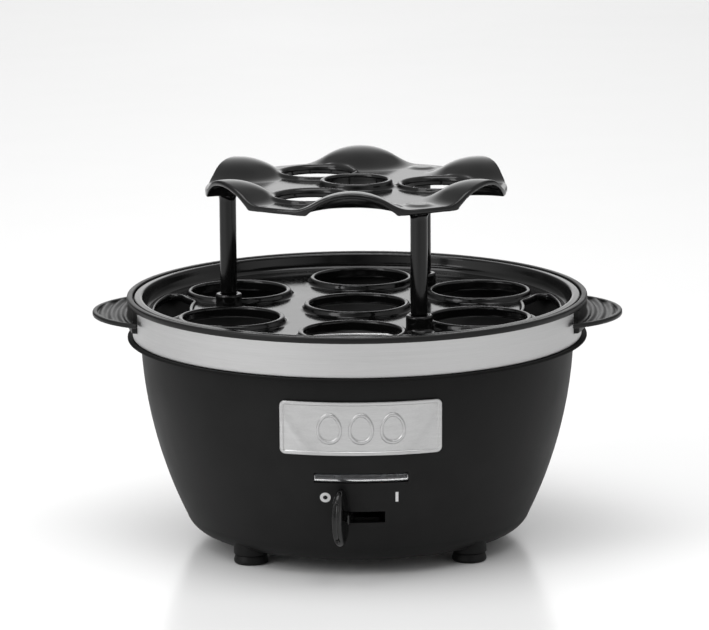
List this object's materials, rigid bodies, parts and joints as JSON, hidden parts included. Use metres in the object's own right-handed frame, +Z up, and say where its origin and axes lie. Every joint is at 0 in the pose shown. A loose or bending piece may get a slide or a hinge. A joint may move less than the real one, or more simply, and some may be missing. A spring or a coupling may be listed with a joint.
{
  "type": "egg cooker",
  "caption": "Round electric egg cooker with a heated water dish, steel band, side handles, front switch lever and stacked lift-out egg trays.",
  "frame": {"origin": "middle of the footprint, on the surface the feet stand on", "axes": "+Z up, -Y the front with badge and lever, +X towards the right handle"},
  "size_m": [0.19, 0.165, 0.1344],
  "materials": {
    "housing_black": "satin powder coat",
    "collar_black": "fine moulded texture",
    "brushed_band": "brushed round the band",
    "liner_black": "moulded",
    "silicone_grey": "moulded silicone",
    "dish_steel": "spun steel",
    "cast_aluminium": "as cast",
    "element_steel": "drawn tube",
    "terminal_steel": "plated",
    "screw_steel": "zinc plated",
    "plain_steel": "blackened sheet",
    "thermostat_white": "glazed",
    "base_black": "moulded",
    "foot_rubber": "moulded rubber",
    "gland_black": "moulded",
    "badge_steel": "brushed sideways",
    "lens_clear": "smoked clear",
    "lamp_glass": "neon lamp",
    "inner_plastic": "moulded nylon",
    "mark_white": "printed ink",
    "lever_black": "moulded",
    "switch_grey": "moulded nylon",
    "slider_white": "moulded acetal",
    "buzzer_black": "moulded",
    "tray_gloss": "high gloss black"
  },
  "bodies": {
    "root": {"badge_plate": "badge_steel", "base_cover": "base_black", "base_screws": "screw_steel", "bracket_screws": "screw_steel", "buzzer": "buzzer_black", "chamber_liner": "liner_black", "clamp_screws": "screw_steel", "cord_gland": "gland_black", "earth_tag": "terminal_steel", "element_clamps": "cast_aluminium", "element_terminals": "terminal_steel", "foot_front_left": "foot_rubber", "foot_front_right": "foot_rubber", "foot_rear_left": "foot_rubber", "foot_rear_right": "foot_rubber", "fuse_clip": "plain_steel", "heat_spreader": "cast_aluminium", "heating_element": "element_steel", "heating_plate": "dish_steel", "housing_shell": "housing_black", "indicator_lamp": "lamp_glass", "indicator_lens": "lens_clear", "lamp_holder": "inner_plastic", "lever_bracket": "plain_steel", "lever_bracket_screws": "screw_steel", "lever_pivot_pin": "screw_steel", "off_mark": "mark_white", "on_mark": "mark_white", "plate_gasket": "silicone_grey", "retaining_strap": "plain_steel", "strap_screws": "screw_steel", "switch_body": "switch_grey", "switch_terminals": "terminal_steel", "terminal_block": "inner_plastic", "terminal_screws": "screw_steel", "thermal_fuse": "terminal_steel", "thermostat": "thermostat_white", "thermostat_bracket": "plain_steel", "top_collar": "collar_black", "trim_band": "brushed_band"},
    "lever": {"power_lever": "lever_black"},
    "slider": {"switch_slider": "slider_white"},
    "lower_tray": {"lower_tray": "tray_gloss"},
    "upper_tray": {"upper_tray": "tray_gloss"}
  },
  "joints": [
    {"name": "lever_swing", "type": "hinge", "parent": "root", "child": "lever", "pos_m": [0, -0.05, 0.0231], "axis": [0, 0, 1], "range_deg": [0, 34]},
    {"name": "switch_throw", "type": "slide", "parent": "root", "child": "slider", "axis": [1, 0, 0], "range_m": [-0.0062, 0]},
    {"name": "lower_tray_lift", "type": "slide", "parent": "root", "child": "lower_tray", "axis": [0, 0, 1], "range_m": [0, 0.06]},
    {"name": "upper_tray_lift", "type": "slide", "parent": "lower_tray", "child": "upper_tray", "axis": [0, 0, 1], "range_m": [0, 0.06]}
  ],
  "couplings": [
    {"joint": "switch_throw", "follows": "lever_swing", "m_per_rad": -0.0103}
  ]
}
